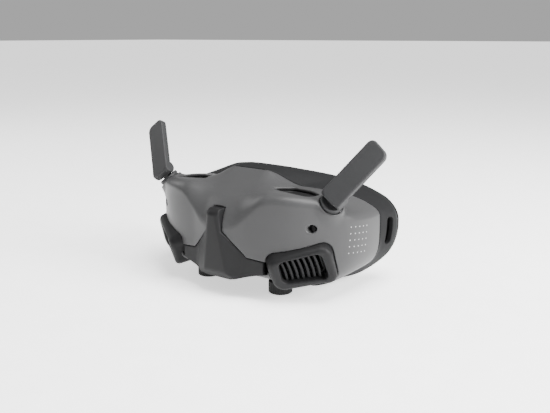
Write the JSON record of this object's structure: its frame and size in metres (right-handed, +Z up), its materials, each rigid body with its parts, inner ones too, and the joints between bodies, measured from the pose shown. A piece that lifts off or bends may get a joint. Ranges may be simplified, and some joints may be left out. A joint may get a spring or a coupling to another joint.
{
  "type": "fpv goggles",
  "caption": "Wrap-around video goggles with an eyepiece for each eye, a soft face mask, side vents, eye setting knobs below and fold-out paddle antennas on top.",
  "frame": {"origin": "centre of the bounding box at the level of its lowest point", "axes": "+Z up, -Y to the front of the goggles, +Y towards the wearer's face, X across the eyes"},
  "size_m": [0.1968, 0.1028, 0.1049],
  "materials": {
    "shell_grey": "satin moulded plastic, light grey",
    "dark_grey": "satin moulded plastic, dark grey",
    "antenna_grey": "fine grained plastic, dark grey",
    "mask_grey": "soft matte elastomer, dark grey",
    "foam": "fabric faced foam, near black",
    "black_plastic": "matt black plastic",
    "knob_black": "ribbed black elastomer",
    "steel": "machined steel",
    "aluminium": "extruded aluminium",
    "board": "circuit board",
    "dark_glass": "dark optical window",
    "lens_glass": "coated optical lens"
  },
  "bodies": {
    "headset": {"front_shell": "shell_grey", "centre_cover": "dark_grey", "lower_shell": "dark_grey", "rear_frame": "black_plastic", "face_mask": "mask_grey", "foam_pad": "foam", "guide_rail_1": "steel", "guide_rail_2": "steel", "main_board": "board", "heat_sink": "aluminium", "touch_sensor": "board", "proximity_window": "dark_glass", "usb_socket": "black_plastic", "audio_socket": "black_plastic", "card_slot": "black_plastic", "power_socket": "black_plastic", "vent_bezel_right": "dark_grey", "vent_bezel_left": "dark_grey", "vent_louvres_right": "dark_grey", "vent_louvres_left": "dark_grey", "top_vent_grille_right": "dark_grey", "top_vent_grille_left": "dark_grey", "camera_lens_right": "dark_glass", "camera_lens_left": "dark_glass", "antenna_base_right": "antenna_grey", "antenna_base_left": "antenna_grey", "antenna_hinge_pin_right": "steel", "antenna_hinge_pin_left": "steel", "fan_housing_right": "black_plastic", "fan_housing_left": "black_plastic", "frame_screw_1_right": "steel", "frame_screw_1_left": "steel", "frame_screw_2_right": "steel", "frame_screw_2_left": "steel", "frame_screw_3_right": "steel", "frame_screw_3_left": "steel"},
    "antenna_right": {"antenna_front_right": "antenna_grey", "antenna_back_right": "antenna_grey"},
    "carriage_right": {"eye_carriage_right": "black_plastic", "display_panel_right": "dark_glass"},
    "focus_cell_right": {"lens_cell_right": "black_plastic", "eyepiece_lens_right": "lens_glass"},
    "knob_right": {"diopter_knob_right": "knob_black", "knob_spindle_right": "steel"},
    "fan_right": {"fan_rotor_right": "black_plastic"},
    "antenna_left": {"antenna_front_left": "antenna_grey", "antenna_back_left": "antenna_grey"},
    "carriage_left": {"eye_carriage_left": "black_plastic", "display_panel_left": "dark_glass"},
    "focus_cell_left": {"lens_cell_left": "black_plastic", "eyepiece_lens_left": "lens_glass"},
    "knob_left": {"diopter_knob_left": "knob_black", "knob_spindle_left": "steel"},
    "fan_left": {"fan_rotor_left": "black_plastic"},
    "link_key": {"link_button": "black_plastic"}
  },
  "joints": [
    {"name": "antenna_fold_right", "type": "hinge", "parent": "headset", "child": "antenna_right", "pos_m": [0.0718, -0.0199, 0.0705], "axis": [-0.8332, 0.073, 0.5481], "range_deg": [0, 65]},
    {"name": "ipd_slide_right", "type": "slide", "parent": "headset", "child": "carriage_right", "axis": [1, 0, 0], "range_m": [-0.003, 0.005]},
    {"name": "focus_slide_right", "type": "slide", "parent": "carriage_right", "child": "focus_cell_right", "axis": [0, 1, 0], "range_m": [-0.003, 0.0015]},
    {"name": "diopter_turn_right", "type": "hinge", "parent": "carriage_right", "child": "knob_right", "pos_m": [0.031, -0.0185, 0.004], "axis": [0, 0, 1], "range_deg": [-204, 102]},
    {"name": "fan_spin_right", "type": "hinge", "parent": "headset", "child": "fan_right", "pos_m": [0.0626, -0.001, 0.03], "axis": [0, 1, 0], "continuous": true},
    {"name": "antenna_fold_left", "type": "hinge", "parent": "headset", "child": "antenna_left", "pos_m": [-0.0718, -0.0199, 0.0705], "axis": [-0.8332, -0.073, -0.5481], "range_deg": [0, 65]},
    {"name": "ipd_slide_left", "type": "slide", "parent": "headset", "child": "carriage_left", "axis": [-1, 0, 0], "range_m": [-0.003, 0.005]},
    {"name": "focus_slide_left", "type": "slide", "parent": "carriage_left", "child": "focus_cell_left", "axis": [0, 1, 0], "range_m": [-0.003, 0.0015]},
    {"name": "diopter_turn_left", "type": "hinge", "parent": "carriage_left", "child": "knob_left", "pos_m": [-0.031, -0.0185, 0.004], "axis": [0, 0, -1], "range_deg": [-204, 102]},
    {"name": "fan_spin_left", "type": "hinge", "parent": "headset", "child": "fan_left", "pos_m": [-0.0626, -0.001, 0.03], "axis": [0, 1, 0], "continuous": true},
    {"name": "link_press", "type": "slide", "parent": "headset", "child": "link_key", "axis": [0, 0, 1], "range_m": [0, 0.0008], "stiffness_N_per_m": 600}
  ],
  "couplings": [
    {"joint": "diopter_turn_right", "follows": "focus_slide_right", "rad_per_m": 1186.8},
    {"joint": "diopter_turn_left", "follows": "focus_slide_left", "rad_per_m": 1186.8}
  ]
}
